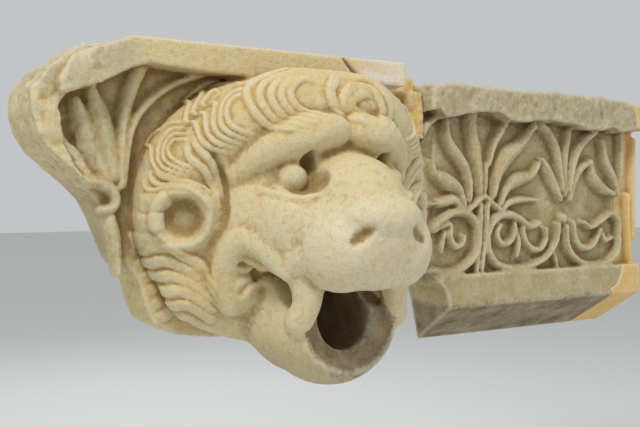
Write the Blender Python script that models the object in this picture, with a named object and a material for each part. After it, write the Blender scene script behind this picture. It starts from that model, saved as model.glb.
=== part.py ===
# Lion head waterspout: a course of a marble roof gutter, put together from two old blocks and new plaster.
# Metres. X runs along the course, Y goes into the wall and Z is up. The flat back of the course lies on Y = 0,
# and the lion looks out along -Y with its face on X = 0. A point on the carving is given as (x, out, z), where
# out is its distance in front of the relief plane.

import math

import bmesh
import bpy
import numpy as np
from mathutils import Matrix, Vector, noise
from mathutils.bvhtree import BVHTree

# Fineness of the solids
VOXEL = 0.0032
LION_TRIANGLES = 6200
PALMETTE_TRIANGLES = 2500
INFILL_TRIANGLES = 260
END_TRIANGLES = 260

# Course profile, from the back plane outwards
RELIEF = 0.090
SUNK = 0.017
BAND_OUT = 0.115
BAND_TOP = 0.203
FIELD_FOOT = -0.096
ARRIS = -0.144
FOOT_AT_WALL = -0.202
SIDE_TOP = 0.180
FASCIA_OUT = 0.092
END_OF_COURSE = 0.712

# Depths of the breaks and of the plaster, from the back plane outwards
BROKEN_OUT = 0.104
SIDE_BAND_OUT = 0.109
END_BAND_OUT = 0.107
PLASTER_FIELD = 0.064
LUMP_OUT = 0.090

# How far every block is made behind the back plane, before it is cut flat there
SPARE = 0.012

# Water channel and mouth
CHANNEL_RADIUS = 0.030
CHANNEL_HEIGHT = -0.118

# Locks of the mane: strands, whether the far side has the same lock, and the lock's outer and inner line
LOCK_RISE = 0.0065
STRAND_SHARE = 0.5
STRAND_HALF = 0.56
STRAND_FLATNESS = 2
LOCKS = [
    (5, True, [(-0.073, 0.170), (-0.113, 0.154), (-0.150, 0.116), (-0.155, 0.080), (-0.119, 0.066)],
     [(-0.108, 0.139), (-0.124, 0.129), (-0.132, 0.115), (-0.129, 0.098), (-0.101, 0.086)]),
    (5, False, [(-0.035, 0.178), (-0.103, 0.147), (-0.110, 0.119), (-0.088, 0.097), (-0.065, 0.097)],
     [(-0.031, 0.152), (-0.053, 0.153), (-0.069, 0.138), (-0.059, 0.118), (-0.023, 0.110)]),
    (3, False, [(0.005, 0.169), (-0.018, 0.143), (-0.013, 0.122), (0.006, 0.111), (0.030, 0.107)],
     [(0.050, 0.142), (0.027, 0.141), (0.007, 0.130), (0.017, 0.118), (0.040, 0.116)]),
    (2, False, [(0.005, 0.163), (0.046, 0.160), (0.063, 0.143), (0.071, 0.119), (0.045, 0.098)],
     [(0.004, 0.150), (0.039, 0.148), (0.052, 0.136), (0.056, 0.118), (0.035, 0.102)]),
    (4, True, [(-0.151, 0.106), (-0.168, 0.103), (-0.187, 0.075), (-0.188, 0.048), (-0.160, 0.038)],
     [(-0.164, 0.084), (-0.170, 0.084), (-0.177, 0.073), (-0.175, 0.058), (-0.151, 0.048)]),
    (3, True, [(-0.193, 0.056), (-0.185, 0.041), (-0.165, 0.036), (-0.145, 0.025), (-0.133, -0.004)],
     [(-0.200, 0.042), (-0.197, 0.027), (-0.175, 0.031), (-0.153, 0.018), (-0.139, -0.009)]),
    (2, True, [(-0.163, 0.090), (-0.158, 0.072), (-0.143, 0.055), (-0.133, 0.033), (-0.131, 0.007)],
     [(-0.167, 0.085), (-0.166, 0.063), (-0.151, 0.048), (-0.139, 0.027), (-0.136, -0.001)]),
    (6, True, [(-0.203, -0.052), (-0.190, -0.037), (-0.169, -0.046), (-0.145, -0.064), (-0.135, -0.097)],
     [(-0.178, -0.130), (-0.160, -0.124), (-0.154, -0.121), (-0.137, -0.131), (-0.119, -0.139)]),
    (3, True, [(-0.184, 0.020), (-0.195, 0.014), (-0.205, 0.012)],
     [(-0.186, -0.036), (-0.196, -0.032), (-0.207, -0.034)]),
]
# Lines of the face and ears: half width, rise, both sides, and the line in (x, z). A negative rise is a groove.
EAR = (0.170, -0.005)
EAR_RING = 0.030
EAR_RISE = 0.009
EAR_HOLLOW = 0.008
FACE_LINES = [
    (0.0090, -0.0045, True, [(-0.150, 0.080), (-0.143, 0.061), (-0.131, 0.039), (-0.129, 0.010),
                             (-0.132, -0.024)]),
    (0.0070, -0.0050, True, [(-0.121, -0.054), (-0.112, -0.060), (-0.100, -0.066), (-0.090, -0.072)]),
    (0.0070, -0.0040, True, [(-0.118, -0.098), (-0.108, -0.084), (-0.096, -0.076), (-0.086, -0.073)]),
    (0.0060, 0.0030, True, [(-0.105, 0.030), (-0.092, 0.022), (-0.072, 0.018), (-0.052, 0.024)]),
]


# Outlines of the blocks, in (x, z)
LION_JOINT = [(0.150, -0.130), (0.192, -0.080), (0.207, 0.000), (0.200, 0.060), (0.170, 0.110),
              (0.125, 0.145), (0.108, 0.165), (0.070, 0.203), (0.040, 0.235)]
LION_OUTLINE = [(-0.210, 0.203), (-0.264, 0.193), (-0.306, 0.164), (-0.325, 0.140), (-0.327, 0.113),
                (-0.321, 0.093), (-0.309, 0.073), (-0.288, 0.054), (-0.264, 0.034), (-0.246, 0.016),
                (-0.235, -0.005), (-0.225, -0.030), (-0.215, -0.055), (-0.200, -0.071), (-0.191, -0.086),
                (-0.185, -0.110), (-0.174, -0.134), (-0.145, -0.149), (-0.100, -0.156), (0.060, -0.160),
                (0.140, -0.135), (0.190, -0.080), (0.205, 0.000), (0.198, 0.060), (0.168, 0.110),
                (0.123, 0.145), (0.106, 0.165), (0.068, 0.203)]
LION_BAND = [(-0.215, BAND_TOP), (-0.285, 0.176), (-0.298, 0.150), (-0.298, 0.132), (-0.253, 0.147),
             (-0.213, 0.168), (-0.195, 0.173), (-0.125, 0.168), (0.104, 0.166), (0.068, BAND_TOP)]
LION_BROKEN = [(-0.264, 0.193), (-0.306, 0.164), (-0.325, 0.140), (-0.327, 0.113), (-0.321, 0.093),
               (-0.309, 0.073), (-0.288, 0.054), (-0.264, 0.034), (-0.272, 0.046), (-0.286, 0.068),
               (-0.293, 0.092), (-0.297, 0.120), (-0.285, 0.140)]
SIDE_JOINT = [(0.673, 0.173), (0.683, 0.133), (0.673, 0.064), (0.663, 0.013), (0.668, -0.046),
              (0.663, -0.105), (0.652, -0.127), (0.632, -0.136), (0.645, -0.150), (0.640, -0.210)]
SIDE_LEFT = [(0.294, -0.210), (0.285, -0.170), (0.278, -0.138), (0.270, -0.116), (0.240, -0.088),
             (0.243, 0.000), (0.236, 0.100), (0.228, 0.150), (0.232, SIDE_TOP)]
SIDE_OUTLINE = SIDE_JOINT + SIDE_LEFT + [(0.280, 0.182), (0.408, 0.180), (0.499, 0.183), (0.560, 0.180),
                                         (0.639, 0.178)]
SIDE_BAND = [(0.232, SIDE_TOP), (0.280, 0.182), (0.408, 0.180), (0.499, 0.183), (0.560, 0.180),
             (0.639, 0.178), (0.673, 0.173), (0.683, 0.133), (0.647, 0.127), (0.622, 0.132), (0.560, 0.127), (0.513, 0.137),
             (0.457, 0.138), (0.424, 0.133), (0.388, 0.134), (0.361, 0.144), (0.310, 0.143), (0.262, 0.132),
             (0.243, 0.145), (0.230, 0.140)]
GAP = 0.0003
INFILL_OUTLINE = ([(x + 0.001, z) for x, z in LION_JOINT[1:8]]
                  + [(0.178, 0.203), (0.178, 0.170), (0.207, 0.170), (0.208, 0.192), (0.2315, 0.190)]
                  + [(x - GAP, z) for x, z in SIDE_LEFT[:3:-1]])
INFILL_BLOCK = [(0.071, 0.203), (0.110, 0.170), (0.178, 0.170), (0.178, 0.203)]
INFILL_LUMP = [(0.200, 0.168), (0.231, 0.170), (0.2275, 0.150), (0.235, 0.100), (0.215, 0.105),
               (0.195, 0.140)]
END_OUTLINE = [(x + GAP, z) for x, z in SIDE_JOINT] + [(END_OF_COURSE, -0.210), (END_OF_COURSE, 0.175)]
END_BAND = [(0.673, 0.173), (0.683, 0.133), (END_OF_COURSE + 0.01, 0.130), (END_OF_COURSE + 0.01, 0.176)]

# Relief lines: half widths from end to end, height above the sunk field, and the line in (x, z). All the half
# widths are multiplied by the fullness.
FULLNESS = 1.15
SIDE_RELIEF = [
    # First palmette
    ((0.005, 0.0045, 0.002), 0.014, [(0.261, 0.136), (0.244, 0.125), (0.236, 0.108), (0.233, 0.088)]),
    ((0.010, 0.011, 0.004), 0.017, [(0.329, 0.146), (0.329, 0.119), (0.337, 0.089), (0.343, 0.056),
                                    (0.345, 0.026)]),
    ((0.005, 0.010, 0.004), 0.017, [(0.277, 0.129), (0.281, 0.105), (0.297, 0.084), (0.316, 0.062), (0.324, 0.037),
                                    (0.324, 0.014)]),
    ((0.003, 0.012, 0.004), 0.016, [(0.251, 0.072), (0.258, 0.052), (0.281, 0.042), (0.303, 0.031), (0.315, 0.007)]),
    ((0.004, 0.009, 0.004), 0.015, [(0.247, 0.008), (0.273, 0.011), (0.295, 0.014), (0.309, 0.001)]),
    ((0.003, 0.006, 0.004), 0.014, [(0.359, 0.067), (0.357, 0.044), (0.355, 0.022)]),
    ((0.008, 0.007, 0.003), 0.016, [(0.401, 0.139), (0.388, 0.118), (0.376, 0.101), (0.363, 0.067)]),
    ((0.006, 0.013, 0.005), 0.018, [(0.458, 0.130), (0.431, 0.101), (0.401, 0.079), (0.382, 0.052), (0.372, 0.020)]),
    ((0.004, 0.010, 0.004), 0.016, [(0.471, 0.071), (0.456, 0.053), (0.427, 0.045), (0.403, 0.032), (0.388, 0.008)]),
    ((0.003, 0.007, 0.004), 0.015, [(0.469, 0.014), (0.431, 0.014), (0.403, 0.008), (0.390, -0.004)]),
    ((0.005, 0.005), 0.017, [(0.313, -0.005), (0.331, 0.005), (0.352, 0.019), (0.372, 0.008), (0.393, -0.006)]),
    ((0.005, 0.004), 0.016, [(0.347, 0.007), (0.345, -0.039), (0.339, -0.090)]),
    ((0.005, 0.004), 0.016, [(0.361, 0.007), (0.357, -0.039), (0.349, -0.090)]),
    # Scrolls
    ((0.006, 0.007, 0.006), 0.017, [(0.247, -0.087), (0.285, -0.093), (0.315, -0.085), (0.337, -0.067),
                                    (0.343, -0.043), (0.337, -0.019), (0.316, -0.005), (0.291, -0.005),
                                    (0.268, -0.016), (0.249, -0.026)]),
    ((0.004, 0.006, 0.003), 0.015, [(0.252, -0.031), (0.285, -0.021), (0.287, -0.039), (0.297, -0.054),
                                    (0.311, -0.051), (0.315, -0.039)]),
    ((0.003, 0.005, 0.002), 0.013, [(0.277, -0.033), (0.272, -0.051), (0.270, -0.064)]),
    ((0.004, 0.006, 0.007, 0.006), 0.017, [(0.517, -0.025), (0.512, -0.051), (0.494, -0.073), (0.464, -0.087),
                                           (0.420, -0.093), (0.384, -0.085), (0.365, -0.065), (0.361, -0.040),
                                           (0.374, -0.018), (0.397, -0.008), (0.425, -0.013), (0.451, -0.027),
                                           (0.471, -0.023)]),
    ((0.004, 0.006, 0.003), 0.015, [(0.388, -0.024), (0.382, -0.038), (0.390, -0.052), (0.407, -0.052),
                                    (0.418, -0.040), (0.420, -0.023)]),
    ((0.003, 0.005, 0.002), 0.013, [(0.423, -0.030), (0.429, -0.052), (0.425, -0.075)]),
    ((0.004, 0.005, 0.003), 0.014, [(0.438, -0.030), (0.444, -0.049), (0.460, -0.063), (0.478, -0.064),
                                    (0.489, -0.050), (0.489, -0.031)]),
    # Second palmette
    ((0.004, 0.010, 0.003), 0.016, [(0.522, 0.014), (0.508, 0.038), (0.492, 0.062), (0.478, 0.079)]),
    ((0.004, 0.009, 0.005), 0.016, [(0.526, 0.030), (0.515, 0.086), (0.499, 0.115), (0.478, 0.131)]),
    ((0.004, 0.007, 0.006), 0.014, [(0.533, 0.022), (0.533, 0.078), (0.543, 0.137)]),
    ((0.004, 0.009, 0.005), 0.016, [(0.541, 0.030), (0.555, 0.079), (0.574, 0.107), (0.606, 0.127)]),
    ((0.004, 0.009, 0.003), 0.016, [(0.543, 0.014), (0.553, 0.043), (0.569, 0.064), (0.596, 0.078)]),
    ((0.004, 0.009, 0.005), 0.016, [(0.662, 0.022), (0.652, 0.050), (0.631, 0.079), (0.621, 0.112)]),
    ((0.004, 0.012, 0.004), 0.016, [(0.652, 0.023), (0.621, 0.035), (0.601, 0.053), (0.591, 0.078)]),
    ((0.004, 0.006, 0.005), 0.015, [(0.669, 0.027), (0.671, 0.073), (0.668, 0.129)]),
    ((0.003, 0.004, 0.002), 0.012, [(0.505, -0.062), (0.512, -0.078), (0.517, -0.094)]),
    ((0.009, 0.009), 0.016, [(0.529, -0.016), (0.530, -0.016)]),
    ((0.004, 0.006, 0.007, 0.006, 0.004), 0.017, [(0.536, -0.029), (0.538, -0.058), (0.555, -0.080),
                                                  (0.589, -0.094), (0.631, -0.093), (0.660, -0.075),
                                                  (0.668, -0.048), (0.663, -0.021), (0.643, -0.010),
                                                  (0.616, -0.023), (0.594, -0.031), (0.577, -0.023)]),
    ((0.004, 0.006, 0.003), 0.015, [(0.553, -0.022), (0.557, -0.045), (0.569, -0.062), (0.594, -0.065),
                                    (0.611, -0.050), (0.619, -0.034)]),
    ((0.003, 0.005, 0.002), 0.013, [(0.621, -0.037), (0.634, -0.054), (0.652, -0.048)]),
]
LION_RELIEF = [
    ((0.009, 0.007, 0.003), 0.016, [(-0.193, 0.174), (-0.203, 0.151), (-0.211, 0.127), (-0.216, 0.097),
                                    (-0.218, 0.062), (-0.219, 0.030)]),
    ((0.004, 0.005, 0.004), 0.015, [(-0.111, 0.170), (-0.144, 0.158), (-0.170, 0.143), (-0.192, 0.122),
                                    (-0.205, 0.098), (-0.211, 0.068), (-0.215, 0.033)]),
    ((0.006, 0.016, 0.010), 0.017, [(-0.252, 0.140), (-0.245, 0.115), (-0.238, 0.085), (-0.228, 0.045)]),
    ((0.006, 0.016, 0.008), 0.017, [(-0.272, 0.128), (-0.262, 0.100), (-0.250, 0.070), (-0.235, 0.040)]),
    ((0.010, 0.010, 0.008), 0.016, [(-0.290, 0.080), (-0.276, 0.062), (-0.262, 0.045)]),
    ((0.008, 0.007, 0.005), 0.018, [(-0.263, 0.038), (-0.246, 0.036), (-0.231, 0.028), (-0.225, 0.016),
                                    (-0.230, 0.006), (-0.241, 0.004)]),
    ((0.008, 0.008, 0.005), 0.016, [(-0.232, -0.006), (-0.226, -0.030), (-0.222, -0.070)]),
]
END_RELIEF = [
    ((0.006, 0.006), 0.014, [(0.690, 0.020), (0.692, -0.040), (0.698, -0.088)]),
    ((0.006, 0.006), 0.012, [(0.706, 0.115), (0.704, 0.040), (0.706, -0.050)]),
]


# Small tools

def clear_scene():
    for old in list(bpy.data.objects):
        bpy.data.objects.remove(old)


def new_object(name, mesh):
    obj = bpy.data.objects.new(name, mesh)
    bpy.context.scene.collection.objects.link(obj)
    return obj


def from_bmesh(name, bm):
    mesh = bpy.data.meshes.new(name)
    bm.to_mesh(mesh)
    bm.free()
    return new_object(name, mesh)


def bake(obj):
    """Turns the object's modifiers into its mesh."""
    depsgraph = bpy.context.evaluated_depsgraph_get()
    mesh = bpy.data.meshes.new_from_object(obj.evaluated_get(depsgraph))
    obj.modifiers.clear()
    obj.data = mesh
    return obj


def remesh(obj, voxel):
    modifier = obj.modifiers.new("skin", "REMESH")
    modifier.mode = "VOXEL"
    modifier.voxel_size = voxel
    return bake(obj)


def soften(obj, reach, voxel):
    """Smooths over about the given distance, whatever the size of the mesh's faces."""
    modifier = obj.modifiers.new("soften", "SMOOTH")
    modifier.factor = 0.5
    modifier.iterations = max(1, round(2 * (reach / voxel) ** 2))
    return bake(obj)


def combine(obj, other, operation):
    """Joins, cuts or crops the object with another one, which is then deleted."""
    modifier = obj.modifiers.new("combine", "BOOLEAN")
    modifier.object = other
    modifier.operation = operation
    modifier.solver = "EXACT"
    bake(obj)
    bpy.data.objects.remove(other)
    return obj


def thin_out(obj, triangles):
    """Collapses edges until the mesh has at most the given number of triangles."""
    now = sum(len(p.vertices) - 2 for p in obj.data.polygons)
    modifier = obj.modifiers.new("thin out", "DECIMATE")
    modifier.ratio = min(1.0, triangles / now)
    modifier.use_collapse_triangulate = True
    return bake(obj)


def points_of(obj):
    co = np.empty(len(obj.data.vertices) * 3)
    obj.data.vertices.foreach_get("co", co)
    return co.reshape(-1, 3)


def normals_of(obj):
    no = np.empty(len(obj.data.vertices) * 3)
    obj.data.vertex_normals.foreach_get("vector", no)
    return no.reshape(-1, 3)


def set_points(obj, co):
    obj.data.vertices.foreach_set("co", co.ravel())
    obj.data.update()


def place(x, out, z):
    return Vector((x, -RELIEF - out, z))


def curve_through(points, steps=8):
    """A smooth curve through the given points."""
    p = np.array(points, float)
    p = np.vstack([2 * p[0] - p[1], p, 2 * p[-1] - p[-2]])
    t = np.linspace(0, 1, steps, endpoint=False)[:, None]
    parts = []
    for a, b, c, d in zip(p, p[1:], p[2:], p[3:]):
        parts.append(0.5 * (2 * b + (c - a) * t + (2 * a - 5 * b + 4 * c - d) * t ** 2
                            + (3 * b - a - 3 * c + d) * t ** 3))
    parts.append(p[-2:-1])
    return np.vstack(parts)


def evenly(path, spacing, axes):
    """The same path with equal steps, none longer than the spacing. The first axes of a point are its place."""
    steps = np.linalg.norm(np.diff(path[:, :axes], axis=0), axis=1)
    run = np.concatenate([[0], np.cumsum(steps)])
    at = np.linspace(0, run[-1], 2 + int(run[-1] / spacing))
    return np.array([np.interp(at, run, column) for column in path.T]).T


def nearness(co, path, reach):
    """Which points lie within reach of a path, how far they are from it, and how far along it they are."""
    low = path.min(axis=0) - reach
    high = path.max(axis=0) + reach
    near = np.flatnonzero(np.all((co > low) & (co < high), axis=1))
    c = co[near]
    best = np.full(len(near), np.inf)
    along = np.zeros(len(near))
    for i, (a, b) in enumerate(zip(path, path[1:])):
        ab = b - a
        t = np.clip((c - a) @ ab / max(ab @ ab, 1e-12), 0, 1)
        dist = np.linalg.norm(c - a - t[:, None] * ab, axis=1)
        closer = dist < best
        best[closer] = dist[closer]
        along[closer] = (i + t[closer]) / (len(path) - 1)
    keep = best < reach
    return near[keep], best[keep], along[keep]


# Masses of the head, joined under one skin

def ball(forms, centre, radii, tilt=0.0, turn=0.0):
    """An ellipsoid. tilt leans it about X, and turn about Z, in degrees."""
    matrix = (Matrix.Translation(place(*centre)) @ Matrix.Rotation(math.radians(turn), 4, "Z")
              @ Matrix.Rotation(math.radians(tilt), 4, "X") @ Matrix.Diagonal((*radii, 1)))
    forms.append((matrix, 4))


def pair(forms, centre, radii, tilt=0.0, turn=0.0):
    """The same ellipsoid on both sides of the face."""
    x, out, z = centre
    ball(forms, centre, radii, tilt, turn)
    ball(forms, (-x, out, z), radii, tilt, -turn)


def roll(forms, points, radii, both=True):
    """A round roll along a curve, its radius going from one value to the next."""
    path = curve_through([(*p, r) for p, r in zip(points, radii)], 6)
    for x, out, z, r in path:
        for side in ((1, -1) if both else (1,)):
            forms.append((Matrix.Translation(place(side * x, out, z)) @ Matrix.Diagonal((r, r, r, 1)), 2))


def from_forms(name, forms):
    """One object of all the ellipsoids, each still a closed shell of its own."""
    spheres = {}
    verts = []
    faces = []
    start = 0
    for matrix, level in forms:
        if level not in spheres:
            bm = bmesh.new()
            bmesh.ops.create_icosphere(bm, subdivisions=level, radius=1)
            spheres[level] = (np.array([v.co for v in bm.verts]),
                              np.array([[v.index for v in f.verts] for f in bm.faces]))
            bm.free()
        co, tris = spheres[level]
        m = np.array(matrix)
        verts.append(co @ m[:3, :3].T + m[:3, 3])
        faces.append(tris + start)
        start += len(co)
    mesh = bpy.data.meshes.new(name)
    mesh.from_pydata(np.vstack(verts).tolist(), [], np.vstack(faces).tolist())
    return new_object(name, mesh)


def tube(name, start, end, radius):
    """A straight round bar between two points."""
    a = place(*start)
    b = place(*end)
    bm = bmesh.new()
    turn = (b - a).to_track_quat("Z", "Y").to_matrix().to_4x4()
    bmesh.ops.create_cone(bm, cap_ends=True, segments=40, radius1=radius, radius2=radius, depth=(b - a).length,
                          matrix=Matrix.Translation((a + b) / 2) @ turn)
    return from_bmesh(name, bm)


def prism(name, corners, push):
    """A solid made of a flat face pushed straight out."""
    bm = bmesh.new()
    face = bm.faces.new([bm.verts.new(c) for c in corners])
    moved = bmesh.ops.extrude_face_region(bm, geom=[face])["geom"]
    bmesh.ops.translate(bm, vec=push, verts=[v for v in moved if isinstance(v, bmesh.types.BMVert)])
    bmesh.ops.recalc_face_normals(bm, faces=bm.faces)
    return from_bmesh(name, bm)


def across(name, outline, half_width):
    """A solid whose side outline is given as (out, z) points, running across the face."""
    return prism(name, [place(-half_width, out, z) for out, z in outline], (2 * half_width, 0, 0))


def merged(obj, *others):
    """Puts the other objects' meshes into the first one's, for the next remesh to join."""
    bm = bmesh.new()
    bm.from_mesh(obj.data)
    for other in others:
        bm.from_mesh(other.data)
        bpy.data.objects.remove(other)
    bm.to_mesh(obj.data)
    bm.free()
    return obj


def cut(obj, forms, voxel):
    """Hollows out the forms, joined under one skin."""
    return combine(obj, remesh(from_forms("cutter", forms), 0.7 * voxel), "DIFFERENCE")


def face_masses():
    forms = []
    # Skull, cheeks and throat
    ball(forms, (0, 0.045, 0.020), (0.128, 0.108, 0.112))
    pair(forms, (0.082, 0.070, -0.012), (0.050, 0.068, 0.072), turn=-12)
    pair(forms, (0.062, 0.110, -0.012), (0.054, 0.058, 0.055), turn=-12)
    ball(forms, (0, 0.020, -0.075), (0.118, 0.075, 0.085))
    # Muzzle, flews and bridge of the nose
    ball(forms, (0, 0.145, -0.024), (0.084, 0.086, 0.064))
    pair(forms, (0.060, 0.125, -0.044), (0.038, 0.058, 0.042), turn=-8)
    pair(forms, (0.036, 0.176, -0.038), (0.046, 0.047, 0.050))
    ball(forms, (0, 0.188, -0.040), (0.058, 0.036, 0.046))
    ball(forms, (0, 0.158, 0.020), (0.056, 0.062, 0.046), tilt=30)
    ball(forms, (0, 0.200, -0.004), (0.054, 0.038, 0.030))
    pair(forms, (0.104, 0.058, -0.076), (0.030, 0.036, 0.044))
    return from_forms("face", forms)


def mane_masses():
    forms = []
    ball(forms, (0, 0.000, 0.006), (0.206, 0.100, 0.172))
    roll(forms, [(0, 0.090, 0.128), (0.060, 0.082, 0.122), (0.115, 0.060, 0.090), (0.150, 0.035, 0.045)],
         [0.046, 0.048, 0.042, 0.036])
    ball(forms, (0, 0.020, -0.080), (0.180, 0.060, 0.085))
    return from_forms("mane", forms)


def jaw_masses():
    forms = []
    ball(forms, (0, 0.030, -0.100), (0.112, 0.080, 0.074), tilt=-10)
    ball(forms, (0, 0.065, -0.115), (0.090, 0.090, 0.084), tilt=-8)
    ball(forms, (0, 0.098, -0.124), (0.083, 0.080, 0.081))
    return from_forms("jaw", forms)


def lion_head(voxel):
    # Bare head
    head = merged(face_masses(), mane_masses(), jaw_masses())
    remesh(head, voxel)
    soften(head, 0.010, voxel)
    # Open mouth, with the water channel behind it
    gape = [(0.082, -0.068), (0.112, -0.064), (0.150, -0.080), (0.190, -0.087), (0.300, -0.087), (0.300, -0.215),
            (0.150, -0.215), (0.166, -0.130), (0.120, -0.104)]
    combine(head, across("gape", gape, 0.150), "DIFFERENCE")
    forms = []
    ball(forms, (0, 0.075, -0.118), (0.042, 0.110, 0.048))
    ball(forms, (0, 0.187, -0.119), (0.084, 0.062, 0.081))
    throat = remesh(from_forms("throat", forms), 0.7 * voxel)
    under_lip = [(-0.100, -0.090), (0.400, -0.090), (0.400, -0.300), (-0.100, -0.300)]
    combine(throat, across("under the lip", under_lip, 0.200), "INTERSECT")
    combine(head, throat, "DIFFERENCE")
    combine(head, tube("channel", (0, -RELIEF - 0.05, CHANNEL_HEIGHT), (0, 0.12, CHANNEL_HEIGHT), CHANNEL_RADIUS),
            "DIFFERENCE")
    forms = []
    # Tooth posts
    roll(forms, [(0.060, 0.144, -0.072), (0.061, 0.147, -0.098), (0.067, 0.139, -0.120)], [0.022, 0.017, 0.017])
    # Mound that curls round the corner of the mouth into the upper lip
    roll(forms, [(0.114, 0.066, -0.104), (0.121, 0.066, -0.080), (0.121, 0.074, -0.053), (0.114, 0.091, -0.031),
                 (0.105, 0.112, -0.031), (0.096, 0.128, -0.045), (0.084, 0.140, -0.064)],
         [0.016, 0.019, 0.021, 0.021, 0.018, 0.015, 0.012])
    # Brows
    roll(forms, [(0.016, 0.134, 0.096), (0.050, 0.134, 0.090), (0.085, 0.110, 0.072), (0.112, 0.078, 0.048)],
         [0.020, 0.024, 0.022, 0.018])
    merged(head, from_forms("added", forms))
    remesh(head, voxel)
    soften(head, 0.005, voxel)
    # Eyes in their sockets, and nostrils
    forms = []
    pair(forms, (0.069, 0.154, 0.043), (0.028, 0.034, 0.022))
    pair(forms, (0.052, 0.146, 0.057), (0.010, 0.032, 0.016))
    roll(forms, [(0.051, 0.220, -0.030), (0.043, 0.223, -0.024), (0.034, 0.229, -0.018), (0.028, 0.233, -0.017)],
         [0.005, 0.0095, 0.0095, 0.005])
    cut(head, forms, voxel)
    forms = []
    pair(forms, (0.068, 0.128, 0.041), (0.0165, 0.0165, 0.0155))
    merged(head, from_forms("added", forms))
    remesh(head, voxel)
    soften(head, 0.002, voxel)
    return head


def slab(name, outline, front, back=0.0):
    """A flat slab standing on the back plane, or on one behind it, its outline in (x, z) points."""
    return prism(name, [(x, -back, z) for x, z in outline], (0, back - front, 0))


def course_field(name, start, end):
    """The sunk field that the frieze stands on."""
    foot = FIELD_FOOT - 0.01
    top = SIDE_TOP + 0.005
    outline = [(start, foot), (end, foot), (end, top), (start, top)]
    return slab(name, outline, RELIEF - SUNK, -SPARE)


def course_foot(start, end):
    """The plain fascia and the underside that slopes back down to the wall."""
    profile = [(SPARE, FIELD_FOOT), (-FASCIA_OUT, FIELD_FOOT), (-FASCIA_OUT, ARRIS), (0, FOOT_AT_WALL),
               (SPARE, FOOT_AT_WALL)]
    return prism("foot", [(start, y, z) for y, z in profile], (end - start, 0, 0))


# Carving

def relief(lines):
    """Stems, leaves and scrolls standing on the sunk field. Each line has its half widths and its height."""
    forms = []
    for widths, height, points in lines:
        at = np.linspace(0, len(widths) - 1, len(points))
        half = FULLNESS * np.interp(at, range(len(widths)), widths)
        path = curve_through([(x, z, w) for (x, z), w in zip(points, half)])
        for x, z, w in evenly(path, 0.5 * min(widths), 2):
            forms.append((Matrix.Translation(place(x, -SUNK, z)) @ Matrix.Diagonal((w, height, w, 1)), 2))
    return from_forms("relief", forms)


def on_surface(tree, points):
    """Lays a line of (x, z) points on the carving, as seen from in front."""
    out = []
    for x, z in points:
        hit = tree.ray_cast(Vector((x, -1.0, z)), Vector((0, 1, 0)))[0]
        if hit is not None:
            out.append(hit)
    return np.array(out)


def ends_of(along, part):
    """1 along a line, falling smoothly to 0 over the given part of it at both ends."""
    t = np.clip(np.minimum(along, 1 - along) / part, 0, 1)
    return t * t * (3 - 2 * t)


def comb_locks(obj, share):
    """Raises the strands of every lock between its outer and its inner line. A share below 1 gives fewer, wider ones."""
    tree = BVHTree.FromObject(obj, bpy.context.evaluated_depsgraph_get())
    co = points_of(obj)
    lift = np.zeros(len(co))
    for strands, both, outer, inner in LOCKS:
        count = max(1, round(strands * share))
        outer = curve_through(outer, 6)
        inner = curve_through(inner, 6)
        at = np.linspace(0, 1, 30)
        outer = np.array([np.interp(at, np.linspace(0, 1, len(outer)), c) for c in outer.T]).T
        inner = np.array([np.interp(at, np.linspace(0, 1, len(inner)), c) for c in inner.T]).T
        width = np.linalg.norm(outer - inner, axis=1).mean() * strands / (strands - 1)
        half = STRAND_HALF * width / count
        for side in ((1, -1) if both else (1,)):
            for k in range(count):
                t = ((k + 0.5) / count * strands - 0.5) / (strands - 1)
                line = on_surface(tree, ((1 - t) * outer + t * inner) * (side, 1))
                near, dist, along = nearness(co, line, half)
                rise = LOCK_RISE * (1 - (dist / half) ** STRAND_FLATNESS)
                lift[near] = np.maximum(lift[near], rise * ends_of(along, 0.20))
    set_points(obj, co + normals_of(obj) * lift[:, None])


def draw_face(obj):
    """Ridges and grooves of the face, and the two ears: a rim round a hollow."""
    tree = BVHTree.FromObject(obj, bpy.context.evaluated_depsgraph_get())
    co = points_of(obj)
    lift = np.zeros(len(co))
    for half, rise, both, points in FACE_LINES:
        for side in ((1, -1) if both else (1,)):
            line = on_surface(tree, [(side * x, z) for x, z in curve_through(points, 6)])
            near, dist, along = nearness(co, line, half)
            lift[near] += rise * (1 - (dist / half) ** 2) ** 2 * ends_of(along, 0.20)
    for side in (1, -1):
        middle = np.array(on_surface(tree, [(side * EAR[0], EAR[1])])[0])
        away = np.linalg.norm(co - middle, axis=1) / EAR_RING
        lift += EAR_RISE * np.exp(-((away - 1) / 0.26) ** 2) - EAR_HOLLOW * np.exp(-(away / 0.80) ** 4)
    set_points(obj, co + normals_of(obj) * lift[:, None])


def roughen(obj, amount, size, seed):
    """Weathers the surface with noise. The amount is a function of a point's place."""
    co = points_of(obj)
    no = normals_of(obj)
    shift = Vector((seed, -seed, 2 * seed))
    by = np.array([noise.fractal(Vector(c) / size + shift, 0.8, 2.1, 3) for c in co])
    set_points(obj, co + no * (by * amount(co))[:, None])


def trim(obj, outline, front=0.6):
    """Crops the object square to an outline, and flat to the back plane."""
    return combine(obj, slab("trim", outline, front), "INTERSECT")


def lion_block(voxel, share, triangles):
    head = lion_head(voxel)
    body = slab("body", LION_OUTLINE, RELIEF - SUNK, -SPARE)
    band = slab("band", LION_BAND, BAND_OUT, -SPARE)
    broken = slab("broken corner", LION_BROKEN, BROKEN_OUT, -SPARE)
    merged(head, body, band, broken, relief(LION_RELIEF))
    remesh(head, voxel)
    combine(head, slab("water hole", hole_outline(), 0.1, -2 * SPARE), "DIFFERENCE")
    remesh(head, voxel)
    soften(head, 0.002, voxel)
    draw_face(head)
    comb_locks(head, share)
    roughen(head, lambda co: np.where(co[:, 0] < -0.25, 0.0030, 0.0), 0.030, 1.0)
    thin_out(head, triangles)
    trim_lion(head)
    return head


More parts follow.
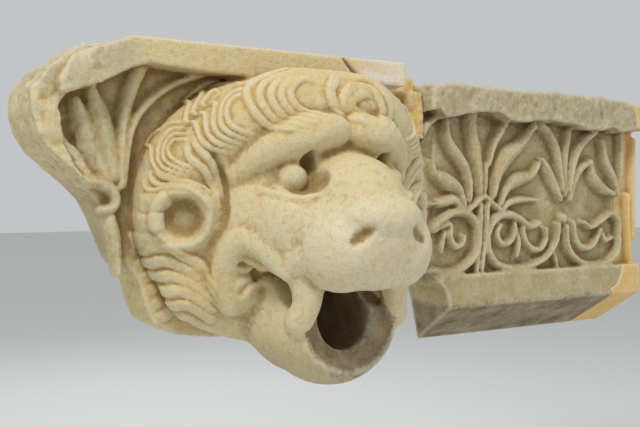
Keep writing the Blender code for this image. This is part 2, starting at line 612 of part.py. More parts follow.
def hole_outline():
    turn = np.linspace(0, 2 * math.pi, 33)[:-1]
    return [(CHANNEL_RADIUS * math.cos(t), CHANNEL_HEIGHT + CHANNEL_RADIUS * math.sin(t)) for t in turn]


def trim_lion(block):
    """Cuts the block flat at the back, and clear of the plaster at its right."""
    behind = slab("behind", [(-0.5, -0.4), (0.5, -0.4), (0.5, 0.4), (-0.5, 0.4)], 0.0, -0.1)
    combine(block, behind, "DIFFERENCE")
    beside = slab("beside", LION_JOINT + [(0.300, 0.300), (0.300, -0.130)], PLASTER_FIELD + 0.006, -0.05)
    combine(block, beside, "DIFFERENCE")


def palmette_block(voxel, triangles):
    body = course_field("palmette_block", 0.215, 0.700)
    band = slab("band", SIDE_BAND, SIDE_BAND_OUT, -SPARE)
    merged(body, band, course_foot(0.235, 0.690), relief(SIDE_RELIEF))
    remesh(body, voxel)
    soften(body, 0.0015, voxel)
    roughen(body, lambda co: np.where((co[:, 2] > 0.125) | (co[:, 0] < 0.26), 0.0030, 0.0), 0.030, 2.0)
    thin_out(body, triangles)
    return trim(body, SIDE_OUTLINE)


def plaster_infill(voxel, triangles):
    body = slab("plaster_infill", INFILL_OUTLINE, PLASTER_FIELD, -SPARE)
    block = slab("band block", INFILL_BLOCK, BAND_OUT, -SPARE)
    lump = slab("lump", INFILL_LUMP, LUMP_OUT, -SPARE)
    merged(body, block, lump)
    remesh(body, voxel)
    soften(body, 0.0015, voxel)
    roughen(body, lambda co: np.where(co[:, 0] > 0.185, 0.0040, 0.0), 0.025, 3.0)
    thin_out(body, triangles)
    return trim(body, INFILL_OUTLINE)


def plaster_end(voxel, triangles):
    body = course_field("plaster_end", 0.600, END_OF_COURSE + 0.01)
    band = slab("band", END_BAND, END_BAND_OUT, -SPARE)
    merged(body, band, course_foot(0.600, END_OF_COURSE + 0.01), relief(END_RELIEF))
    remesh(body, voxel)
    soften(body, 0.0015, voxel)
    thin_out(body, triangles)
    return trim(body, END_OUTLINE)


def stone(name, colour, roughness):
    material = bpy.data.materials.new(name)
    material.use_nodes = True
    shader = material.node_tree.nodes["Principled BSDF"]
    shader.inputs["Base Color"].default_value = (*colour, 1)
    shader.inputs["Roughness"].default_value = roughness
    shader.inputs["Metallic"].default_value = 0.0
    return material


def finish(obj, name, material):
    obj.name = name
    obj.data.name = name
    obj.data.materials.clear()
    obj.data.materials.append(material)
    obj.data.shade_smooth()
    obj.data.set_sharp_from_angle(angle=math.radians(40))


def main():
    clear_scene()
    warm_marble = stone("warm marble", (0.62, 0.52, 0.34), 0.75)
    grey_marble = stone("grey marble", (0.50, 0.46, 0.33), 0.80)
    plaster = stone("plaster", (0.66, 0.52, 0.26), 0.90)
    finish(lion_block(VOXEL, STRAND_SHARE, LION_TRIANGLES), "lion_head_block", warm_marble)
    finish(palmette_block(VOXEL, PALMETTE_TRIANGLES), "palmette_block", grey_marble)
    finish(plaster_infill(VOXEL, INFILL_TRIANGLES), "plaster_infill", plaster)
    finish(plaster_end(VOXEL, END_TRIANGLES), "plaster_end", plaster)


if __name__ == "__main__":
    main()
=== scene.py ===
# Lion head waterspout: the carved and worked surfaces of each block, in the same frame as its solids.
# Metres. X runs along the course, Y goes into the wall and Z is up. The flat back of the course lies on Y = 0,
# and the lion looks out along -Y with its face on X = 0. A point on the carving is given as (x, out, z), where
# out is its distance in front of the relief plane.

import math

import bmesh
import bpy
import numpy as np
from mathutils import Matrix, Vector, noise
from mathutils.bvhtree import BVHTree


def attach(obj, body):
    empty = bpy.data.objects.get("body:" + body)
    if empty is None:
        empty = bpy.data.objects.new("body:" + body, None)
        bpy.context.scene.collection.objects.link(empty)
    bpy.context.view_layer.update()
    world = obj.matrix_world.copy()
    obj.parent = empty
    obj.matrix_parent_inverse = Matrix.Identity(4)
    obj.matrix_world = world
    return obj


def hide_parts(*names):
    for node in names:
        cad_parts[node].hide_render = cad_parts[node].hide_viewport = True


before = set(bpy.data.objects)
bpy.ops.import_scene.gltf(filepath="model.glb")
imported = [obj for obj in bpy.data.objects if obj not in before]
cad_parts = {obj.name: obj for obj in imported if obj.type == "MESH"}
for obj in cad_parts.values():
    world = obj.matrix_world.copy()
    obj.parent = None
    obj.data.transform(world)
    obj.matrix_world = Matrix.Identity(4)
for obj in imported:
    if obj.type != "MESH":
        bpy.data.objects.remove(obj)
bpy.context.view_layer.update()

# Fineness of the carved surfaces
VOXEL = 0.0021
LION_TRIANGLES = 192000
PALMETTE_TRIANGLES = 150000
INFILL_TRIANGLES = 30000
END_TRIANGLES = 30000

# Course profile, from the back plane outwards
RELIEF = 0.090
SUNK = 0.017
BAND_OUT = 0.115
BAND_TOP = 0.203
FIELD_FOOT = -0.096
ARRIS = -0.144
FOOT_AT_WALL = -0.202
SIDE_TOP = 0.180
FASCIA_OUT = 0.092
END_OF_COURSE = 0.712

# Depths of the breaks and of the plaster, from the back plane outwards
BROKEN_OUT = 0.104
SIDE_BAND_OUT = 0.109
END_BAND_OUT = 0.107
PLASTER_FIELD = 0.064
LUMP_OUT = 0.090

# How far every block is made behind the back plane, before it is cut flat there
SPARE = 0.012

# How far the carved surfaces keep inside the joints
JOINT_GAP = 0.0004

# Water channel and mouth
CHANNEL_RADIUS = 0.030
CHANNEL_HEIGHT = -0.118

# Locks of the mane: strands, whether the far side has the same lock, and the lock's outer and inner line
LOCK_RISE = 0.0036
STRAND_SHARE = 1.0
STRAND_HALF = 0.53
STRAND_FLATNESS = 4
LOCKS = [
    (5, True, [(-0.073, 0.170), (-0.113, 0.154), (-0.150, 0.116), (-0.155, 0.080), (-0.119, 0.066)],
     [(-0.108, 0.139), (-0.124, 0.129), (-0.132, 0.115), (-0.129, 0.098), (-0.101, 0.086)]),
    (5, False, [(-0.035, 0.178), (-0.103, 0.147), (-0.110, 0.119), (-0.088, 0.097), (-0.065, 0.097)],
     [(-0.031, 0.152), (-0.053, 0.153), (-0.069, 0.138), (-0.059, 0.118), (-0.023, 0.110)]),
    (3, False, [(0.005, 0.169), (-0.018, 0.143), (-0.013, 0.122), (0.006, 0.111), (0.030, 0.107)],
     [(0.050, 0.142), (0.027, 0.141), (0.007, 0.130), (0.017, 0.118), (0.040, 0.116)]),
    (2, False, [(0.005, 0.163), (0.046, 0.160), (0.063, 0.143), (0.071, 0.119), (0.045, 0.098)],
     [(0.004, 0.150), (0.039, 0.148), (0.052, 0.136), (0.056, 0.118), (0.035, 0.102)]),
    (4, True, [(-0.151, 0.106), (-0.168, 0.103), (-0.187, 0.075), (-0.188, 0.048), (-0.160, 0.038)],
     [(-0.164, 0.084), (-0.170, 0.084), (-0.177, 0.073), (-0.175, 0.058), (-0.151, 0.048)]),
    (3, True, [(-0.193, 0.056), (-0.185, 0.041), (-0.165, 0.036), (-0.145, 0.025), (-0.133, -0.004)],
     [(-0.200, 0.042), (-0.197, 0.027), (-0.175, 0.031), (-0.153, 0.018), (-0.139, -0.009)]),
    (2, True, [(-0.163, 0.090), (-0.158, 0.072), (-0.143, 0.055), (-0.133, 0.033), (-0.131, 0.007)],
     [(-0.167, 0.085), (-0.166, 0.063), (-0.151, 0.048), (-0.139, 0.027), (-0.136, -0.001)]),
    (6, True, [(-0.203, -0.052), (-0.190, -0.037), (-0.169, -0.046), (-0.145, -0.064), (-0.135, -0.097)],
     [(-0.178, -0.130), (-0.160, -0.124), (-0.154, -0.121), (-0.137, -0.131), (-0.119, -0.139)]),
    (3, True, [(-0.184, 0.020), (-0.195, 0.014), (-0.205, 0.012)],
     [(-0.186, -0.036), (-0.196, -0.032), (-0.207, -0.034)]),
]
# Lines of the face and ears: half width, rise, both sides, and the line in (x, z). A negative rise is a groove.
EAR = (0.170, -0.005)
EAR_RING = 0.030
EAR_RISE = 0.009
EAR_HOLLOW = 0.008
FACE_LINES = [
    (0.0090, -0.0045, True, [(-0.150, 0.080), (-0.143, 0.061), (-0.131, 0.039), (-0.129, 0.010),
                             (-0.132, -0.024)]),
    (0.0070, -0.0050, True, [(-0.121, -0.054), (-0.112, -0.060), (-0.100, -0.066), (-0.090, -0.072)]),
    (0.0070, -0.0040, True, [(-0.118, -0.098), (-0.108, -0.084), (-0.096, -0.076), (-0.086, -0.073)]),
    (0.0060, 0.0030, True, [(-0.105, 0.030), (-0.092, 0.022), (-0.072, 0.018), (-0.052, 0.024)]),
]


# Outlines of the blocks, in (x, z)
LION_JOINT = [(0.150, -0.130), (0.192, -0.080), (0.207, 0.000), (0.200, 0.060), (0.170, 0.110),
              (0.125, 0.145), (0.108, 0.165), (0.070, 0.203), (0.040, 0.235)]
LION_OUTLINE = [(-0.210, 0.203), (-0.264, 0.193), (-0.306, 0.164), (-0.325, 0.140), (-0.327, 0.113),
                (-0.321, 0.093), (-0.309, 0.073), (-0.288, 0.054), (-0.264, 0.034), (-0.246, 0.016),
                (-0.235, -0.005), (-0.225, -0.030), (-0.215, -0.055), (-0.200, -0.071), (-0.191, -0.086),
                (-0.185, -0.110), (-0.174, -0.134), (-0.145, -0.149), (-0.100, -0.156), (0.060, -0.160),
                (0.140, -0.135), (0.190, -0.080), (0.205, 0.000), (0.198, 0.060), (0.168, 0.110),
                (0.123, 0.145), (0.106, 0.165), (0.068, 0.203)]
LION_BAND = [(-0.215, BAND_TOP), (-0.285, 0.176), (-0.298, 0.150), (-0.298, 0.132), (-0.253, 0.147),
             (-0.213, 0.168), (-0.195, 0.173), (-0.125, 0.168), (0.104, 0.166), (0.068, BAND_TOP)]
LION_BROKEN = [(-0.264, 0.193), (-0.306, 0.164), (-0.325, 0.140), (-0.327, 0.113), (-0.321, 0.093),
               (-0.309, 0.073), (-0.288, 0.054), (-0.264, 0.034), (-0.272, 0.046), (-0.286, 0.068),
               (-0.293, 0.092), (-0.297, 0.120), (-0.285, 0.140)]
SIDE_JOINT = [(0.673, 0.173), (0.683, 0.133), (0.673, 0.064), (0.663, 0.013), (0.668, -0.046),
              (0.663, -0.105), (0.652, -0.127), (0.632, -0.136), (0.645, -0.150), (0.640, -0.210)]
SIDE_LEFT = [(0.294, -0.210), (0.285, -0.170), (0.278, -0.138), (0.270, -0.116), (0.240, -0.088),
             (0.243, 0.000), (0.236, 0.100), (0.228, 0.150), (0.232, SIDE_TOP)]
SIDE_OUTLINE = SIDE_JOINT + SIDE_LEFT + [(0.280, 0.182), (0.408, 0.180), (0.499, 0.183), (0.560, 0.180),
                                         (0.639, 0.178)]
SIDE_BAND = [(0.232, SIDE_TOP), (0.280, 0.182), (0.408, 0.180), (0.499, 0.183), (0.560, 0.180),
             (0.639, 0.178), (0.673, 0.173), (0.683, 0.133), (0.647, 0.127), (0.622, 0.132), (0.560, 0.127), (0.513, 0.137),
             (0.457, 0.138), (0.424, 0.133), (0.388, 0.134), (0.361, 0.144), (0.310, 0.143), (0.262, 0.132),
             (0.243, 0.145), (0.230, 0.140)]
GAP = 0.0003
INFILL_OUTLINE = ([(x + 0.001, z) for x, z in LION_JOINT[1:8]]
                  + [(0.178, 0.203), (0.178, 0.170), (0.207, 0.170), (0.208, 0.192), (0.2315, 0.190)]
                  + [(x - GAP, z) for x, z in SIDE_LEFT[:3:-1]])
INFILL_BLOCK = [(0.071, 0.203), (0.110, 0.170), (0.178, 0.170), (0.178, 0.203)]
INFILL_LUMP = [(0.200, 0.168), (0.231, 0.170), (0.2275, 0.150), (0.235, 0.100), (0.215, 0.105),
               (0.195, 0.140)]
END_OUTLINE = [(x + GAP, z) for x, z in SIDE_JOINT] + [(END_OF_COURSE, -0.210), (END_OF_COURSE, 0.175)]
END_BAND = [(0.673, 0.173), (0.683, 0.133), (END_OF_COURSE + 0.01, 0.130), (END_OF_COURSE + 0.01, 0.176)]

# Relief lines: half widths from end to end, height above the sunk field, and the line in (x, z). All the half
# widths are multiplied by the fullness.
FULLNESS = 1.15
SIDE_RELIEF = [
    # First palmette
    ((0.005, 0.0045, 0.002), 0.014, [(0.261, 0.136), (0.244, 0.125), (0.236, 0.108), (0.233, 0.088)]),
    ((0.010, 0.011, 0.004), 0.017, [(0.329, 0.146), (0.329, 0.119), (0.337, 0.089), (0.343, 0.056),
                                    (0.345, 0.026)]),
    ((0.005, 0.010, 0.004), 0.017, [(0.277, 0.129), (0.281, 0.105), (0.297, 0.084), (0.316, 0.062), (0.324, 0.037),
                                    (0.324, 0.014)]),
    ((0.003, 0.012, 0.004), 0.016, [(0.251, 0.072), (0.258, 0.052), (0.281, 0.042), (0.303, 0.031), (0.315, 0.007)]),
    ((0.004, 0.009, 0.004), 0.015, [(0.247, 0.008), (0.273, 0.011), (0.295, 0.014), (0.309, 0.001)]),
    ((0.003, 0.006, 0.004), 0.014, [(0.359, 0.067), (0.357, 0.044), (0.355, 0.022)]),
    ((0.008, 0.007, 0.003), 0.016, [(0.401, 0.139), (0.388, 0.118), (0.376, 0.101), (0.363, 0.067)]),
    ((0.006, 0.013, 0.005), 0.018, [(0.458, 0.130), (0.431, 0.101), (0.401, 0.079), (0.382, 0.052), (0.372, 0.020)]),
    ((0.004, 0.010, 0.004), 0.016, [(0.471, 0.071), (0.456, 0.053), (0.427, 0.045), (0.403, 0.032), (0.388, 0.008)]),
    ((0.003, 0.007, 0.004), 0.015, [(0.469, 0.014), (0.431, 0.014), (0.403, 0.008), (0.390, -0.004)]),
    ((0.005, 0.005), 0.017, [(0.313, -0.005), (0.331, 0.005), (0.352, 0.019), (0.372, 0.008), (0.393, -0.006)]),
    ((0.005, 0.004), 0.016, [(0.347, 0.007), (0.345, -0.039), (0.339, -0.090)]),
    ((0.005, 0.004), 0.016, [(0.361, 0.007), (0.357, -0.039), (0.349, -0.090)]),
    # Scrolls
    ((0.006, 0.007, 0.006), 0.017, [(0.247, -0.087), (0.285, -0.093), (0.315, -0.085), (0.337, -0.067),
                                    (0.343, -0.043), (0.337, -0.019), (0.316, -0.005), (0.291, -0.005),
                                    (0.268, -0.016), (0.249, -0.026)]),
    ((0.004, 0.006, 0.003), 0.015, [(0.252, -0.031), (0.285, -0.021), (0.287, -0.039), (0.297, -0.054),
                                    (0.311, -0.051), (0.315, -0.039)]),
    ((0.003, 0.005, 0.002), 0.013, [(0.277, -0.033), (0.272, -0.051), (0.270, -0.064)]),
    ((0.004, 0.006, 0.007, 0.006), 0.017, [(0.517, -0.025), (0.512, -0.051), (0.494, -0.073), (0.464, -0.087),
                                           (0.420, -0.093), (0.384, -0.085), (0.365, -0.065), (0.361, -0.040),
                                           (0.374, -0.018), (0.397, -0.008), (0.425, -0.013), (0.451, -0.027),
                                           (0.471, -0.023)]),
    ((0.004, 0.006, 0.003), 0.015, [(0.388, -0.024), (0.382, -0.038), (0.390, -0.052), (0.407, -0.052),
                                    (0.418, -0.040), (0.420, -0.023)]),
    ((0.003, 0.005, 0.002), 0.013, [(0.423, -0.030), (0.429, -0.052), (0.425, -0.075)]),
    ((0.004, 0.005, 0.003), 0.014, [(0.438, -0.030), (0.444, -0.049), (0.460, -0.063), (0.478, -0.064),
                                    (0.489, -0.050), (0.489, -0.031)]),
    # Second palmette
    ((0.004, 0.010, 0.003), 0.016, [(0.522, 0.014), (0.508, 0.038), (0.492, 0.062), (0.478, 0.079)]),
    ((0.004, 0.009, 0.005), 0.016, [(0.526, 0.030), (0.515, 0.086), (0.499, 0.115), (0.478, 0.131)]),
    ((0.004, 0.007, 0.006), 0.014, [(0.533, 0.022), (0.533, 0.078), (0.543, 0.137)]),
    ((0.004, 0.009, 0.005), 0.016, [(0.541, 0.030), (0.555, 0.079), (0.574, 0.107), (0.606, 0.127)]),
    ((0.004, 0.009, 0.003), 0.016, [(0.543, 0.014), (0.553, 0.043), (0.569, 0.064), (0.596, 0.078)]),
    ((0.004, 0.009, 0.005), 0.016, [(0.662, 0.022), (0.652, 0.050), (0.631, 0.079), (0.621, 0.112)]),
    ((0.004, 0.012, 0.004), 0.016, [(0.652, 0.023), (0.621, 0.035), (0.601, 0.053), (0.591, 0.078)]),
    ((0.004, 0.006, 0.005), 0.015, [(0.669, 0.027), (0.671, 0.073), (0.668, 0.129)]),
    ((0.003, 0.004, 0.002), 0.012, [(0.505, -0.062), (0.512, -0.078), (0.517, -0.094)]),
    ((0.009, 0.009), 0.016, [(0.529, -0.016), (0.530, -0.016)]),
    ((0.004, 0.006, 0.007, 0.006, 0.004), 0.017, [(0.536, -0.029), (0.538, -0.058), (0.555, -0.080),
                                                  (0.589, -0.094), (0.631, -0.093), (0.660, -0.075),
                                                  (0.668, -0.048), (0.663, -0.021), (0.643, -0.010),
                                                  (0.616, -0.023), (0.594, -0.031), (0.577, -0.023)]),
    ((0.004, 0.006, 0.003), 0.015, [(0.553, -0.022), (0.557, -0.045), (0.569, -0.062), (0.594, -0.065),
                                    (0.611, -0.050), (0.619, -0.034)]),
    ((0.003, 0.005, 0.002), 0.013, [(0.621, -0.037), (0.634, -0.054), (0.652, -0.048)]),
]
LION_RELIEF = [
    ((0.009, 0.007, 0.003), 0.016, [(-0.193, 0.174), (-0.203, 0.151), (-0.211, 0.127), (-0.216, 0.097),
                                    (-0.218, 0.062), (-0.219, 0.030)]),
    ((0.004, 0.005, 0.004), 0.015, [(-0.111, 0.170), (-0.144, 0.158), (-0.170, 0.143), (-0.192, 0.122),
                                    (-0.205, 0.098), (-0.211, 0.068), (-0.215, 0.033)]),
    ((0.006, 0.016, 0.010), 0.017, [(-0.252, 0.140), (-0.245, 0.115), (-0.238, 0.085), (-0.228, 0.045)]),
    ((0.006, 0.016, 0.008), 0.017, [(-0.272, 0.128), (-0.262, 0.100), (-0.250, 0.070), (-0.235, 0.040)]),
    ((0.010, 0.010, 0.008), 0.016, [(-0.290, 0.080), (-0.276, 0.062), (-0.262, 0.045)]),
    ((0.008, 0.007, 0.005), 0.018, [(-0.263, 0.038), (-0.246, 0.036), (-0.231, 0.028), (-0.225, 0.016),
                                    (-0.230, 0.006), (-0.241, 0.004)]),
    ((0.008, 0.008, 0.005), 0.016, [(-0.232, -0.006), (-0.226, -0.030), (-0.222, -0.070)]),
]
END_RELIEF = [
    ((0.006, 0.006), 0.014, [(0.690, 0.020), (0.692, -0.040), (0.698, -0.088)]),
    ((0.006, 0.006), 0.012, [(0.706, 0.115), (0.704, 0.040), (0.706, -0.050)]),
]


# Small tools

def new_object(name, mesh):
    obj = bpy.data.objects.new(name, mesh)
    bpy.context.scene.collection.objects.link(obj)
    return obj


def from_bmesh(name, bm):
    mesh = bpy.data.meshes.new(name)
    bm.to_mesh(mesh)
    bm.free()
    return new_object(name, mesh)


def bake(obj):
    """Turns the object's modifiers into its mesh."""
    depsgraph = bpy.context.evaluated_depsgraph_get()
    mesh = bpy.data.meshes.new_from_object(obj.evaluated_get(depsgraph))
    obj.modifiers.clear()
    obj.data = mesh
    return obj


def remesh(obj, voxel):
    modifier = obj.modifiers.new("skin", "REMESH")
    modifier.mode = "VOXEL"
    modifier.voxel_size = voxel
    return bake(obj)


def soften(obj, reach, voxel):
    """Smooths over about the given distance, whatever the size of the mesh's faces."""
    modifier = obj.modifiers.new("soften", "SMOOTH")
    modifier.factor = 0.5
    modifier.iterations = max(1, round(2 * (reach / voxel) ** 2))
    return bake(obj)


def combine(obj, other, operation):
    """Joins, cuts or crops the object with another one, which is then deleted."""
    modifier = obj.modifiers.new("combine", "BOOLEAN")
    modifier.object = other
    modifier.operation = operation
    modifier.solver = "EXACT"
    bake(obj)
    bpy.data.objects.remove(other)
    return obj


def thin_out(obj, triangles):
    """Collapses edges until the mesh has at most the given number of triangles."""
    now = sum(len(p.vertices) - 2 for p in obj.data.polygons)
    modifier = obj.modifiers.new("thin out", "DECIMATE")
    modifier.ratio = min(1.0, triangles / now)
    modifier.use_collapse_triangulate = True
    return bake(obj)


def points_of(obj):
    co = np.empty(len(obj.data.vertices) * 3)
    obj.data.vertices.foreach_get("co", co)
    return co.reshape(-1, 3)


def normals_of(obj):
    no = np.empty(len(obj.data.vertices) * 3)
    obj.data.vertex_normals.foreach_get("vector", no)
    return no.reshape(-1, 3)


def set_points(obj, co):
    obj.data.vertices.foreach_set("co", co.ravel())
    obj.data.update()


def place(x, out, z):
    return Vector((x, -RELIEF - out, z))


def curve_through(points, steps=8):
    """A smooth curve through the given points."""
    p = np.array(points, float)
    p = np.vstack([2 * p[0] - p[1], p, 2 * p[-1] - p[-2]])
    t = np.linspace(0, 1, steps, endpoint=False)[:, None]
    parts = []
    for a, b, c, d in zip(p, p[1:], p[2:], p[3:]):
        parts.append(0.5 * (2 * b + (c - a) * t + (2 * a - 5 * b + 4 * c - d) * t ** 2
                            + (3 * b - a - 3 * c + d) * t ** 3))
    parts.append(p[-2:-1])
    return np.vstack(parts)


def evenly(path, spacing, axes):
    """The same path with equal steps, none longer than the spacing. The first axes of a point are its place."""
    steps = np.linalg.norm(np.diff(path[:, :axes], axis=0), axis=1)
    run = np.concatenate([[0], np.cumsum(steps)])
    at = np.linspace(0, run[-1], 2 + int(run[-1] / spacing))
    return np.array([np.interp(at, run, column) for column in path.T]).T


def nearness(co, path, reach):
    """Which points lie within reach of a path, how far they are from it, and how far along it they are."""
    low = path.min(axis=0) - reach
    high = path.max(axis=0) + reach
    near = np.flatnonzero(np.all((co > low) & (co < high), axis=1))
    c = co[near]
    best = np.full(len(near), np.inf)
    along = np.zeros(len(near))
    for i, (a, b) in enumerate(zip(path, path[1:])):
        ab = b - a
        t = np.clip((c - a) @ ab / max(ab @ ab, 1e-12), 0, 1)
        dist = np.linalg.norm(c - a - t[:, None] * ab, axis=1)
        closer = dist < best
        best[closer] = dist[closer]
        along[closer] = (i + t[closer]) / (len(path) - 1)
    keep = best < reach
    return near[keep], best[keep], along[keep]


# Masses of the head, joined under one skin

def ball(forms, centre, radii, tilt=0.0, turn=0.0):
    """An ellipsoid. tilt leans it about X, and turn about Z, in degrees."""
    matrix = (Matrix.Translation(place(*centre)) @ Matrix.Rotation(math.radians(turn), 4, "Z")
              @ Matrix.Rotation(math.radians(tilt), 4, "X") @ Matrix.Diagonal((*radii, 1)))
    forms.append((matrix, 4))


def pair(forms, centre, radii, tilt=0.0, turn=0.0):
    """The same ellipsoid on both sides of the face."""
    x, out, z = centre
    ball(forms, centre, radii, tilt, turn)
    ball(forms, (-x, out, z), radii, tilt, -turn)


def roll(forms, points, radii, both=True):
    """A round roll along a curve, its radius going from one value to the next."""
    path = curve_through([(*p, r) for p, r in zip(points, radii)], 6)
    for x, out, z, r in path:
        for side in ((1, -1) if both else (1,)):
            forms.append((Matrix.Translation(place(side * x, out, z)) @ Matrix.Diagonal((r, r, r, 1)), 2))


def from_forms(name, forms):
    """One object of all the ellipsoids, each still a closed shell of its own."""
    spheres = {}
    verts = []
    faces = []
    start = 0
    for matrix, level in forms:
        if level not in spheres:
            bm = bmesh.new()
            bmesh.ops.create_icosphere(bm, subdivisions=level, radius=1)
            spheres[level] = (np.array([v.co for v in bm.verts]),
                              np.array([[v.index for v in f.verts] for f in bm.faces]))
            bm.free()
        co, tris = spheres[level]
        m = np.array(matrix)
        verts.append(co @ m[:3, :3].T + m[:3, 3])
        faces.append(tris + start)
        start += len(co)
    mesh = bpy.data.meshes.new(name)
    mesh.from_pydata(np.vstack(verts).tolist(), [], np.vstack(faces).tolist())
    return new_object(name, mesh)


def tube(name, start, end, radius):
    """A straight round bar between two points."""
    a = place(*start)
    b = place(*end)
    bm = bmesh.new()
    turn = (b - a).to_track_quat("Z", "Y").to_matrix().to_4x4()
    bmesh.ops.create_cone(bm, cap_ends=True, segments=40, radius1=radius, radius2=radius, depth=(b - a).length,
                          matrix=Matrix.Translation((a + b) / 2) @ turn)
    return from_bmesh(name, bm)


def prism(name, corners, push):
    """A solid made of a flat face pushed straight out."""
    bm = bmesh.new()
    face = bm.faces.new([bm.verts.new(c) for c in corners])
    moved = bmesh.ops.extrude_face_region(bm, geom=[face])["geom"]
    bmesh.ops.translate(bm, vec=push, verts=[v for v in moved if isinstance(v, bmesh.types.BMVert)])
    bmesh.ops.recalc_face_normals(bm, faces=bm.faces)
    return from_bmesh(name, bm)


def across(name, outline, half_width):
    """A solid whose side outline is given as (out, z) points, running across the face."""
    return prism(name, [place(-half_width, out, z) for out, z in outline], (2 * half_width, 0, 0))


def merged(obj, *others):
    """Puts the other objects' meshes into the first one's, for the next remesh to join."""
    bm = bmesh.new()
    bm.from_mesh(obj.data)
    for other in others:
        bm.from_mesh(other.data)
        bpy.data.objects.remove(other)
    bm.to_mesh(obj.data)
    bm.free()
    return obj


def cut(obj, forms, voxel):
    """Hollows out the forms, joined under one skin."""
    return combine(obj, remesh(from_forms("cutter", forms), 0.7 * voxel), "DIFFERENCE")


def face_masses():
    forms = []
    # Skull, cheeks and throat
    ball(forms, (0, 0.045, 0.020), (0.128, 0.108, 0.112))
    pair(forms, (0.082, 0.070, -0.012), (0.050, 0.068, 0.072), turn=-12)
    pair(forms, (0.062, 0.110, -0.012), (0.054, 0.058, 0.055), turn=-12)
    ball(forms, (0, 0.020, -0.075), (0.118, 0.075, 0.085))
    # Muzzle, flews and bridge of the nose
    ball(forms, (0, 0.145, -0.024), (0.084, 0.086, 0.064))
    pair(forms, (0.060, 0.125, -0.044), (0.038, 0.058, 0.042), turn=-8)
    pair(forms, (0.036, 0.176, -0.038), (0.046, 0.047, 0.050))
    ball(forms, (0, 0.188, -0.040), (0.058, 0.036, 0.046))
    ball(forms, (0, 0.158, 0.020), (0.056, 0.062, 0.046), tilt=30)
    ball(forms, (0, 0.200, -0.004), (0.054, 0.038, 0.030))
    pair(forms, (0.104, 0.058, -0.076), (0.030, 0.036, 0.044))
    return from_forms("face", forms)


def mane_masses():
    forms = []
    ball(forms, (0, 0.000, 0.006), (0.206, 0.100, 0.172))
    roll(forms, [(0, 0.090, 0.128), (0.060, 0.082, 0.122), (0.115, 0.060, 0.090), (0.150, 0.035, 0.045)],
         [0.046, 0.048, 0.042, 0.036])
    ball(forms, (0, 0.020, -0.080), (0.180, 0.060, 0.085))
    return from_forms("mane", forms)


def jaw_masses():
    forms = []
    ball(forms, (0, 0.030, -0.100), (0.112, 0.080, 0.074), tilt=-10)
    ball(forms, (0, 0.065, -0.115), (0.090, 0.090, 0.084), tilt=-8)
    ball(forms, (0, 0.098, -0.124), (0.083, 0.080, 0.081))
    return from_forms("jaw", forms)


def lion_head(voxel):
    # Bare head
    head = merged(face_masses(), mane_masses(), jaw_masses())
    remesh(head, voxel)
    soften(head, 0.010, voxel)
    # Open mouth, with the water channel behind it
    gape = [(0.082, -0.068), (0.112, -0.064), (0.150, -0.080), (0.190, -0.087), (0.300, -0.087), (0.300, -0.215),
            (0.150, -0.215), (0.166, -0.130), (0.120, -0.104)]
    combine(head, across("gape", gape, 0.150), "DIFFERENCE")
    forms = []
    ball(forms, (0, 0.075, -0.118), (0.042, 0.110, 0.048))
    ball(forms, (0, 0.187, -0.119), (0.084, 0.062, 0.081))
    throat = remesh(from_forms("throat", forms), 0.7 * voxel)
    under_lip = [(-0.100, -0.090), (0.400, -0.090), (0.400, -0.300), (-0.100, -0.300)]
    combine(throat, across("under the lip", under_lip, 0.200), "INTERSECT")
    combine(head, throat, "DIFFERENCE")
    combine(head, tube("channel", (0, -RELIEF - 0.05, CHANNEL_HEIGHT), (0, 0.12, CHANNEL_HEIGHT), CHANNEL_RADIUS),
            "DIFFERENCE")
    forms = []
    # Tooth posts
    roll(forms, [(0.060, 0.144, -0.072), (0.061, 0.147, -0.098), (0.067, 0.139, -0.120)], [0.022, 0.017, 0.017])
    # Mound that curls round the corner of the mouth into the upper lip
    roll(forms, [(0.114, 0.066, -0.104), (0.121, 0.066, -0.080), (0.121, 0.074, -0.053), (0.114, 0.091, -0.031),
                 (0.105, 0.112, -0.031), (0.096, 0.128, -0.045), (0.084, 0.140, -0.064)],
         [0.016, 0.019, 0.021, 0.021, 0.018, 0.015, 0.012])
    # Brows
    roll(forms, [(0.016, 0.134, 0.096), (0.050, 0.134, 0.090), (0.085, 0.110, 0.072), (0.112, 0.078, 0.048)],
         [0.020, 0.024, 0.022, 0.018])
    merged(head, from_forms("added", forms))
    remesh(head, voxel)
    soften(head, 0.005, voxel)
    # Eyes in their sockets, and nostrils
    forms = []
    pair(forms, (0.069, 0.154, 0.043), (0.028, 0.034, 0.022))
    pair(forms, (0.052, 0.146, 0.057), (0.010, 0.032, 0.016))
    roll(forms, [(0.051, 0.220, -0.030), (0.043, 0.223, -0.024), (0.034, 0.229, -0.018), (0.028, 0.233, -0.017)],
         [0.005, 0.0095, 0.0095, 0.005])
    cut(head, forms, voxel)
    forms = []
    pair(forms, (0.068, 0.128, 0.041), (0.0165, 0.0165, 0.0155))
    merged(head, from_forms("added", forms))
    remesh(head, voxel)
    soften(head, 0.002, voxel)
    return head


def slab(name, outline, front, back=0.0):
    """A flat slab standing on the back plane, or on one behind it, its outline in (x, z) points."""
    return prism(name, [(x, -back, z) for x, z in outline], (0, back - front, 0))


def course_field(name, start, end):
    """The sunk field that the frieze stands on."""
    foot = FIELD_FOOT - 0.01
    top = SIDE_TOP + 0.005
    outline = [(start, foot), (end, foot), (end, top), (start, top)]
    return slab(name, outline, RELIEF - SUNK, -SPARE)


def course_foot(start, end):
    """The plain fascia and the underside that slopes back down to the wall."""
    profile = [(SPARE, FIELD_FOOT), (-FASCIA_OUT, FIELD_FOOT), (-FASCIA_OUT, ARRIS), (0, FOOT_AT_WALL),
               (SPARE, FOOT_AT_WALL)]
    return prism("foot", [(start, y, z) for y, z in profile], (end - start, 0, 0))


# Carving

